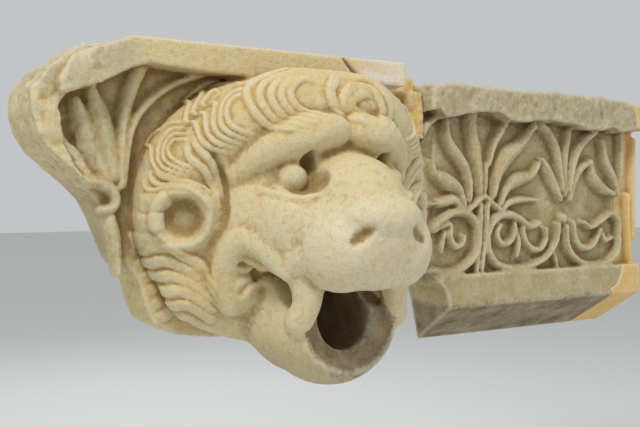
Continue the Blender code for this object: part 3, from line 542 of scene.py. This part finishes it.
def relief(lines):
    """Stems, leaves and scrolls standing on the sunk field. Each line has its half widths and its height."""
    forms = []
    for widths, height, points in lines:
        at = np.linspace(0, len(widths) - 1, len(points))
        half = FULLNESS * np.interp(at, range(len(widths)), widths)
        path = curve_through([(x, z, w) for (x, z), w in zip(points, half)])
        for x, z, w in evenly(path, 0.5 * min(widths), 2):
            forms.append((Matrix.Translation(place(x, -SUNK, z)) @ Matrix.Diagonal((w, height, w, 1)), 2))
    return from_forms("relief", forms)


def on_surface(tree, points):
    """Lays a line of (x, z) points on the carving, as seen from in front."""
    out = []
    for x, z in points:
        hit = tree.ray_cast(Vector((x, -1.0, z)), Vector((0, 1, 0)))[0]
        if hit is not None:
            out.append(hit)
    return np.array(out)


def ends_of(along, part):
    """1 along a line, falling smoothly to 0 over the given part of it at both ends."""
    t = np.clip(np.minimum(along, 1 - along) / part, 0, 1)
    return t * t * (3 - 2 * t)


def comb_locks(obj, share):
    """Raises the strands of every lock between its outer and its inner line. A share below 1 gives fewer, wider ones."""
    tree = BVHTree.FromObject(obj, bpy.context.evaluated_depsgraph_get())
    co = points_of(obj)
    lift = np.zeros(len(co))
    for strands, both, outer, inner in LOCKS:
        count = max(1, round(strands * share))
        outer = curve_through(outer, 6)
        inner = curve_through(inner, 6)
        at = np.linspace(0, 1, 30)
        outer = np.array([np.interp(at, np.linspace(0, 1, len(outer)), c) for c in outer.T]).T
        inner = np.array([np.interp(at, np.linspace(0, 1, len(inner)), c) for c in inner.T]).T
        width = np.linalg.norm(outer - inner, axis=1).mean() * strands / (strands - 1)
        half = STRAND_HALF * width / count
        for side in ((1, -1) if both else (1,)):
            for k in range(count):
                t = ((k + 0.5) / count * strands - 0.5) / (strands - 1)
                line = on_surface(tree, ((1 - t) * outer + t * inner) * (side, 1))
                near, dist, along = nearness(co, line, half)
                rise = LOCK_RISE * (1 - (dist / half) ** STRAND_FLATNESS)
                lift[near] = np.maximum(lift[near], rise * ends_of(along, 0.20))
    set_points(obj, co + normals_of(obj) * lift[:, None])


def draw_face(obj):
    """Ridges and grooves of the face, and the two ears: a rim round a hollow."""
    tree = BVHTree.FromObject(obj, bpy.context.evaluated_depsgraph_get())
    co = points_of(obj)
    lift = np.zeros(len(co))
    for half, rise, both, points in FACE_LINES:
        for side in ((1, -1) if both else (1,)):
            line = on_surface(tree, [(side * x, z) for x, z in curve_through(points, 6)])
            near, dist, along = nearness(co, line, half)
            lift[near] += rise * (1 - (dist / half) ** 2) ** 2 * ends_of(along, 0.20)
    for side in (1, -1):
        middle = np.array(on_surface(tree, [(side * EAR[0], EAR[1])])[0])
        away = np.linalg.norm(co - middle, axis=1) / EAR_RING
        lift += EAR_RISE * np.exp(-((away - 1) / 0.26) ** 2) - EAR_HOLLOW * np.exp(-(away / 0.80) ** 4)
    set_points(obj, co + normals_of(obj) * lift[:, None])


def roughen(obj, amount, size, seed):
    """Weathers the surface with noise. The amount is a function of a point's place."""
    co = points_of(obj)
    no = normals_of(obj)
    shift = Vector((seed, -seed, 2 * seed))
    by = np.array([noise.fractal(Vector(c) / size + shift, 0.8, 2.1, 3) for c in co])
    set_points(obj, co + no * (by * amount(co))[:, None])


# Blocks

# Heights of the roughness on broken stone, on sound stone and on plaster
BROKEN_ROUGH = 0.0030
GRAIN_ROUGH = 0.0005
PLASTER_ROUGH = 0.0040

def grown(outline, by):
    """The outline moved outwards, or inwards where by is negative."""
    p = np.array(outline, float)
    before = p - np.roll(p, 1, axis=0)
    after = np.roll(p, -1, axis=0) - p
    before /= np.linalg.norm(before, axis=1)[:, None]
    after /= np.linalg.norm(after, axis=1)[:, None]
    along = before + after
    along /= np.maximum(np.linalg.norm(along, axis=1), 0.3)[:, None]
    area = (p[:, 0] * np.roll(p[:, 1], -1) - np.roll(p[:, 0], -1) * p[:, 1]).sum()
    side = np.stack([along[:, 1], -along[:, 0]], axis=1) * np.sign(area)
    return [tuple(q) for q in p + by * side]


def trim(obj, outline, voxel):
    """Crops the object to an outline a little inside its joints, flat to the back plane, and skins it anew."""
    combine(obj, slab("trim", grown(outline, -JOINT_GAP), 0.6), "INTERSECT")
    return remesh(obj, voxel)


def hole_outline():
    turn = np.linspace(0, 2 * math.pi, 33)[:-1]
    return [(CHANNEL_RADIUS * math.cos(t), CHANNEL_HEIGHT + CHANNEL_RADIUS * math.sin(t)) for t in turn]


def trim_lion(block):
    """Cuts the block flat at the back, and clear of the plaster at its right."""
    behind = slab("behind", [(-0.5, -0.4), (0.5, -0.4), (0.5, 0.4), (-0.5, 0.4)], 0.0, -0.1)
    combine(block, behind, "DIFFERENCE")
    beside = slab("beside", LION_JOINT + [(0.300, 0.300), (0.300, -0.130)], PLASTER_FIELD + 0.006, -0.05)
    combine(block, beside, "DIFFERENCE")


def lion_block(voxel, triangles):
    head = lion_head(voxel)
    body = slab("body", LION_OUTLINE, RELIEF - SUNK, -SPARE)
    band = slab("band", LION_BAND, BAND_OUT, -SPARE)
    broken = slab("broken corner", LION_BROKEN, BROKEN_OUT, -SPARE)
    merged(head, body, band, broken, relief(LION_RELIEF))
    remesh(head, voxel)
    combine(head, slab("water hole", hole_outline(), 0.1, -2 * SPARE), "DIFFERENCE")
    trim_lion(head)
    remesh(head, voxel)
    soften(head, 0.0015, voxel)
    draw_face(head)
    comb_locks(head, STRAND_SHARE)
    roughen(head, lambda co: np.where(co[:, 0] < -0.25, BROKEN_ROUGH, 0.0) * in_front(co), 0.030, 1.0)
    roughen(head, lambda co: GRAIN_ROUGH * in_front(co), 0.006, 5.0)
    return thin_out(head, triangles)


def in_front(co):
    """0 on the back plane, 1 a little in front of it."""
    return np.clip((-co[:, 1] - 0.004) / 0.01, 0, 1)


def broken_edges(co):
    """How rough the second block is: at its broken top and left end only."""
    return np.where((co[:, 2] > 0.125) | (co[:, 0] < 0.26), BROKEN_ROUGH, 0.0)


def palmette_block(voxel, triangles):
    body = course_field("palmette_block", 0.215, 0.700)
    band = slab("band", SIDE_BAND, SIDE_BAND_OUT, -SPARE)
    merged(body, band, course_foot(0.235, 0.690), relief(SIDE_RELIEF))
    remesh(body, voxel)
    trim(body, SIDE_OUTLINE, voxel)
    soften(body, 0.0012, voxel)
    roughen(body, lambda co: broken_edges(co) * in_front(co), 0.030, 2.0)
    roughen(body, lambda co: GRAIN_ROUGH * in_front(co), 0.006, 6.0)
    return thin_out(body, triangles)


def plaster_infill(voxel, triangles):
    body = slab("plaster_infill", INFILL_OUTLINE, PLASTER_FIELD, -SPARE)
    block = slab("band block", INFILL_BLOCK, BAND_OUT, -SPARE)
    lump = slab("lump", INFILL_LUMP, LUMP_OUT, -SPARE)
    merged(body, block, lump)
    remesh(body, voxel)
    trim(body, INFILL_OUTLINE, voxel)
    soften(body, 0.0012, voxel)
    roughen(body, lambda co: np.where(co[:, 0] > 0.185, PLASTER_ROUGH, 0.0) * in_front(co), 0.025, 3.0)
    return thin_out(body, triangles)


def plaster_end(voxel, triangles):
    body = course_field("plaster_end", 0.600, END_OF_COURSE + 0.01)
    band = slab("band", END_BAND, END_BAND_OUT, -SPARE)
    merged(body, band, course_foot(0.600, END_OF_COURSE + 0.01), relief(END_RELIEF))
    remesh(body, voxel)
    trim(body, END_OUTLINE, voxel)
    soften(body, 0.0012, voxel)
    return thin_out(body, triangles)


# Colour. Every piece carries its broad colours in an attribute, worked out from named patches, with painted shade
# laid in under the jaw, in the mouth and on the undersides, and two more attributes that say how hollow the surface
# is at a small and at a large scale.

def srgb(r, g, b):
    """Linear colour from the usual 0 to 255 values."""
    return np.array([(v / 255 / 12.92) if v <= 10 else ((v / 255 + 0.055) / 1.055) ** 2.4 for v in (r, g, b)])


CREAM = srgb(214, 196, 148)
YELLOW = srgb(210, 180, 110)
OCHRE = srgb(184, 146, 76)
PALE = srgb(222, 213, 186)
GREY = srgb(172, 166, 142)
OLIVE = srgb(172, 160, 116)
SLATE = srgb(150, 150, 140)
# Dark brown laid on only as painted shade
BROWN = srgb(120, 98, 62)
SHADE_DARK = srgb(78, 62, 40)
GOLD = srgb(222, 182, 104)
WHITE = srgb(232, 230, 220)
TAN = srgb(160, 122, 66)
SAND = srgb(196, 150, 84)

# Patches: colour, strength, reach, and the places (x, z) or (x, z, y) they spread from
LION_PAINT = [
    (YELLOW, 0.55, 0.060, [(-0.110, 0.110), (-0.050, 0.135), (0.010, 0.140), (-0.165, 0.070), (-0.160, -0.080)]),
    (OLIVE, 0.75, 0.040, [(-0.250, 0.080), (-0.240, 0.020), (-0.235, 0.120), (-0.225, -0.040)]),
    (GREY, 0.75, 0.035, [(-0.260, 0.180), (-0.240, 0.185), (-0.300, 0.160)]),
    (SLATE, 0.80, 0.010, [(-0.150, 0.150), (-0.170, 0.133), (-0.185, 0.112), (-0.197, 0.090), (-0.203, 0.060)]),
    (OLIVE, 0.75, 0.026, [(-0.171, -0.005), (0.171, -0.005)]),
    (OLIVE, 0.60, 0.020, [(-0.072, 0.044), (0.072, 0.044)]),
]


def neighbours_mean(values, edges, count):
    """The mean of each point's neighbours."""
    total = np.zeros((len(values), values.shape[1]))
    for k in range(values.shape[1]):
        total[:, k] = (np.bincount(edges[:, 0], values[edges[:, 1], k], len(values))
                       + np.bincount(edges[:, 1], values[edges[:, 0], k], len(values)))
    return total / count[:, None]


def hollowness(obj, rounds):
    """How far each point lies below its smoothed surroundings, in metres."""
    co = points_of(obj)
    edges = np.empty(len(obj.data.edges) * 2, int)
    obj.data.edges.foreach_get("vertices", edges)
    edges = edges.reshape(-1, 2)
    count = np.maximum(np.bincount(edges.ravel(), minlength=len(co)), 1)
    smooth = co.copy()
    for _ in range(rounds):
        smooth = 0.5 * smooth + 0.5 * neighbours_mean(smooth, edges, count)
    return ((smooth - co) * normals_of(obj)).sum(axis=1)


def add_attribute(obj, name, values):
    kind = "FLOAT_COLOR" if values.ndim == 2 else "FLOAT"
    layer = obj.data.attributes.new(name, kind, "POINT")
    if values.ndim == 2:
        values = np.hstack([values, np.ones((len(values), 1))])
        layer.data.foreach_set("color", values.ravel())
    else:
        layer.data.foreach_set("value", values)


def paint(obj, base, patches, more=None):
    co = points_of(obj)
    colour = np.tile(base, (len(co), 1))
    warp = np.array([noise.noise_vector(Vector(c) * 40) for c in co]) * 0.008
    at = co + warp
    for tone, strength, reach, places in patches:
        mask = np.zeros(len(co))
        for x, z, *y in places:
            gap2 = (at[:, 0] - x) ** 2 + (at[:, 2] - z) ** 2
            if y:
                gap2 = gap2 + (at[:, 1] - y[0]) ** 2
            mask = np.maximum(mask, np.clip(1.3 - np.sqrt(gap2) / reach, 0, 1))
        mask = strength * mask ** 2 * (3 - 2 * mask)
        colour += (tone - colour) * mask[:, None]
    if more:
        more(co, at, normals_of(obj), colour)
    add_attribute(obj, "paint", np.clip(colour, 0, 1))
    add_attribute(obj, "hollow", np.clip(hollowness(obj, 8) / 0.0009, -1, 1))
    add_attribute(obj, "deep", np.clip(hollowness(obj, 60) / 0.0040, -1, 1))


def mix_in(colour, tone, mask):
    colour += (tone - colour) * np.clip(mask, 0, 1)[:, None]


# Materials

class Nodes:
    """A short way to build one material's nodes."""

    def __init__(self, name):
        self.material = bpy.data.materials.new(name)
        self.material.use_nodes = True
        self.tree = self.material.node_tree
        self.shader = self.tree.nodes["Principled BSDF"]

    def add(self, kind, inputs=None, **settings):
        node = self.tree.nodes.new(kind)
        for key, value in settings.items():
            setattr(node, key, value)
        for key, value in (inputs or {}).items():
            self.feed(node.inputs[key], value)
        return node

    def feed(self, socket, value):
        if isinstance(value, bpy.types.NodeSocket):
            self.tree.links.new(value, socket)
        else:
            socket.default_value = value

    def attribute(self, name, output):
        return self.add("ShaderNodeAttribute", attribute_name=name).outputs[output]

    def noise(self, where, scale, detail=4.0, rough=0.6, kind="Fac"):
        inputs = {"Vector": where, "Scale": scale, "Detail": detail, "Roughness": rough}
        return self.add("ShaderNodeTexNoise", inputs).outputs[kind]

    def spread(self, value, low, high, to_low=0.0, to_high=1.0):
        inputs = {"Value": value, "From Min": low, "From Max": high, "To Min": to_low, "To Max": to_high}
        return self.add("ShaderNodeMapRange", inputs).outputs["Result"]

    def sum(self, operation, a, b):
        return self.add("ShaderNodeMath", {0: a, 1: b}, operation=operation).outputs[0]

    def mix(self, fac, a, b, blend="MIX"):
        node = self.add("ShaderNodeMix", data_type="RGBA", blend_type=blend)
        self.feed(node.inputs[0], fac)
        self.feed(node.inputs[6], a)
        self.feed(node.inputs[7], b)
        return node.outputs[2]


def tone(colour):
    return (*[float(v) for v in colour], 1.0)


def weathered(name, stain_and_shade, stain_strength, grain, rough):
    """Old carved stone or plaster: broad colours, mottling, stains in the hollows, grime and painted shade in the
    deep recesses, worn pale edges and grain.
    """
    n = Nodes(name)
    where = n.add("ShaderNodeTexCoord").outputs["Object"]
    broad = n.attribute("paint", "Color")
    hollow = n.attribute("hollow", "Fac")
    deep = n.attribute("deep", "Fac")
    clouds = n.noise(where, 28.0, 5.0, 0.62)
    mottle = n.noise(where, 130.0, 5.0, 0.7)
    speck = n.noise(where, 900.0, 2.0, 0.6)
    colour = n.mix(n.spread(clouds, 0.35, 0.65, 0.0, 0.35), broad, tone(PALE))
    colour = n.mix(n.spread(mottle, 0.50, 0.72, 0.0, 0.45), colour, tone(stain_and_shade))
    stained = n.sum("MULTIPLY", n.spread(hollow, 0.05, 0.9), n.spread(clouds, 0.30, 0.60, 0.35, 1.0))
    colour = n.mix(n.sum("MULTIPLY", stained, stain_strength), colour, tone(stain_and_shade))
    # Grime and painted shade: the deep recesses darkened towards a dark stain tone
    colour = n.mix(n.spread(deep, 0.10, 0.9, 0.0, 0.75), colour, tone(stain_and_shade * 0.45))
    worn = n.spread(hollow, -0.15, -0.9, 0.0, 0.45)
    colour = n.mix(worn, colour, tone(PALE))
    colour = n.mix(n.spread(speck, 0.56, 0.75, 0.0, 0.50), colour, tone(PALE * 1.05))
    colour = n.mix(n.spread(speck, 0.44, 0.25, 0.0, 0.60), colour, tone(stain_and_shade * 0.45))
    n.feed(n.shader.inputs["Base Color"], colour)
    n.feed(n.shader.inputs["Roughness"], n.spread(mottle, 0.3, 0.7, rough, min(1.0, rough + 0.15)))
    n.shader.inputs["Specular IOR Level"].default_value = 0.3
    pits = n.add("ShaderNodeTexVoronoi", {"Vector": where, "Scale": 420.0}).outputs["Distance"]
    height = n.sum("ADD", n.sum("MULTIPLY", mottle, 1.3), n.sum("MULTIPLY", speck, 0.5))
    height = n.sum("ADD", height, n.sum("MULTIPLY", n.spread(pits, 0.0, 0.35), 0.5))
    bump = n.add("ShaderNodeBump", {"Height": height, "Strength": grain, "Distance": 0.0012})
    n.feed(n.shader.inputs["Normal"], bump.outputs["Normal"])
    return n.material


def put_on(obj, name, material, node):
    obj.name = name
    obj.data.name = name
    obj.data.materials.clear()
    obj.data.materials.append(material)
    obj.data.shade_smooth()
    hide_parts(node)
    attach(obj, "root")


def lion_tones(co, at, no, colour):
    x, y, z = at.T
    out = -RELIEF - y
    # Granular pale nose; painted shade darkening the underside of the jaw, and painted shade in the mouth
    nose = np.clip((out - 0.13) / 0.05, 0, 1) * (z > -0.09) * np.clip((0.03 - z) / 0.03, 0, 1)
    mix_in(colour, PALE, 0.6 * nose)
    mix_in(colour, BROWN, 0.55 * np.clip((-0.140 - z) / 0.05, 0, 1) * (out > 0))
    # Painted shade: the open mouth and throat filled with dark colour
    shaded_mouth = np.hypot(x, z + 0.125) < 0.062
    mix_in(colour, SHADE_DARK, 0.85 * (shaded_mouth & (out < 0.150)))


def side_tones(co, at, no, colour):
    x, y, z = at.T
    mix_in(colour, GREY, 0.5 * np.clip((z - 0.125) / 0.01, 0, 1))
    # Painted shade on the underside that slopes back to the wall, and on the lower part of the broken left end
    mix_in(colour, SHADE_DARK, 0.8 * np.clip((-0.138 - z) / 0.006, 0, 1))
    mix_in(colour, SHADE_DARK, 0.8 * np.clip((0.262 - x) / 0.01, 0, 1) * (z < -0.09))


SIDE_PAINT = [
    (OCHRE, 0.45, 0.030, [(0.345, 0.030), (0.345, 0.090), (0.370, 0.060)]),
    (BROWN, 0.80, 0.022, [(0.605, 0.006), (0.635, 0.006)]),
]


def stage_floor():
    bm = bmesh.new()
    bmesh.ops.create_grid(bm, x_segments=1, y_segments=1, size=14)
    floor = from_bmesh("floor", bm)
    floor.location = (0, 0, -0.60)
    n = Nodes("pale floor")
    n.shader.inputs["Base Color"].default_value = (0.72, 0.73, 0.72, 1)
    n.shader.inputs["Roughness"].default_value = 0.9
    floor.data.materials.append(n.material)


# Lamps: where each one stands, what it aims at, its size, its power and its colour
LAMPS = {
    "key": ((-1.25, -1.25, 2.1), (0.05, 0, 0), 0.8, 40, (1.0, 0.97, 0.90)),
    "fill": ((1.2, -1.8, 0.4), (0.2, 0, 0), 1.5, 5, (0.96, 0.98, 1.0)),
    "back": ((0.5, 1.8, 1.2), (0.1, 0, 0), 1.2, 12, (1.0, 1.0, 1.0)),
}
SKY = (0.82, 0.84, 0.85, 1)
SKY_STRENGTH = 0.66

# Camera: where it stands, how far it turns right and looks down, and its lens in pixels of the picture's width
CAMERA_AT = (-0.60, -1.0835, 0.0217)
CAMERA_YAW = math.radians(33.3)
LENS = 900
PICTURE_WIDTH = 640
CAMERA_PITCH = -math.atan(18.5 / LENS)
SENSOR = 36


def light(name, place_at, aim, size, power, colour):
    data = bpy.data.lights.new(name, "AREA")
    data.shape = "DISK"
    data.size = size
    data.energy = power
    data.color = colour
    lamp = new_object(name, data)
    lamp.location = place_at
    lamp.rotation_euler = (Vector(aim) - Vector(place_at)).to_track_quat("-Z", "Y").to_euler()


def studio():
    for name, lamp in LAMPS.items():
        light(name, *lamp)
    world = bpy.data.worlds.new("studio")
    bpy.context.scene.world = world
    world.use_nodes = True
    back = world.node_tree.nodes["Background"]
    back.inputs["Color"].default_value = SKY
    back.inputs["Strength"].default_value = SKY_STRENGTH
    bpy.context.scene.view_settings.view_transform = "Standard"


def camera():
    forward = Vector((math.sin(CAMERA_YAW) * math.cos(CAMERA_PITCH),
                      math.cos(CAMERA_YAW) * math.cos(CAMERA_PITCH), math.sin(CAMERA_PITCH)))
    right = Vector((math.cos(CAMERA_YAW), -math.sin(CAMERA_YAW), 0))
    up = right.cross(forward)
    data = bpy.data.cameras.new("camera")
    data.sensor_width = SENSOR
    data.lens = SENSOR * LENS / PICTURE_WIDTH
    view = new_object("camera", data)
    turn = Matrix((right, up, -forward)).transposed().to_4x4()
    view.matrix_world = Matrix.Translation(CAMERA_AT) @ turn
    bpy.context.scene.camera = view


def main():
    lion = lion_block(VOXEL, LION_TRIANGLES)
    side = palmette_block(VOXEL, PALMETTE_TRIANGLES)
    infill = plaster_infill(VOXEL, INFILL_TRIANGLES)
    end = plaster_end(VOXEL, END_TRIANGLES)
    paint(lion, CREAM, LION_PAINT, lion_tones)
    paint(side, OLIVE, SIDE_PAINT, side_tones)
    paint(infill, GOLD, [(WHITE, 0.9, 0.030, [(0.115, 0.188), (0.140, 0.188), (0.165, 0.182)])])
    paint(end, GOLD, [])
    warm_marble = weathered("warm marble carved", OCHRE, 0.80, 0.65, 0.62)
    grey_marble = weathered("grey marble carved", TAN, 0.65, 0.65, 0.70)
    plaster = weathered("worked plaster", SAND, 0.4, 0.25, 0.80)
    put_on(lion, "lion_head_carved", warm_marble, "lion_head_block")
    put_on(side, "palmette_carved", grey_marble, "palmette_block")
    put_on(infill, "plaster_infill_worked", plaster, "plaster_infill")
    put_on(end, "plaster_end_worked", plaster, "plaster_end")
    stage_floor()
    studio()
    camera()


main()
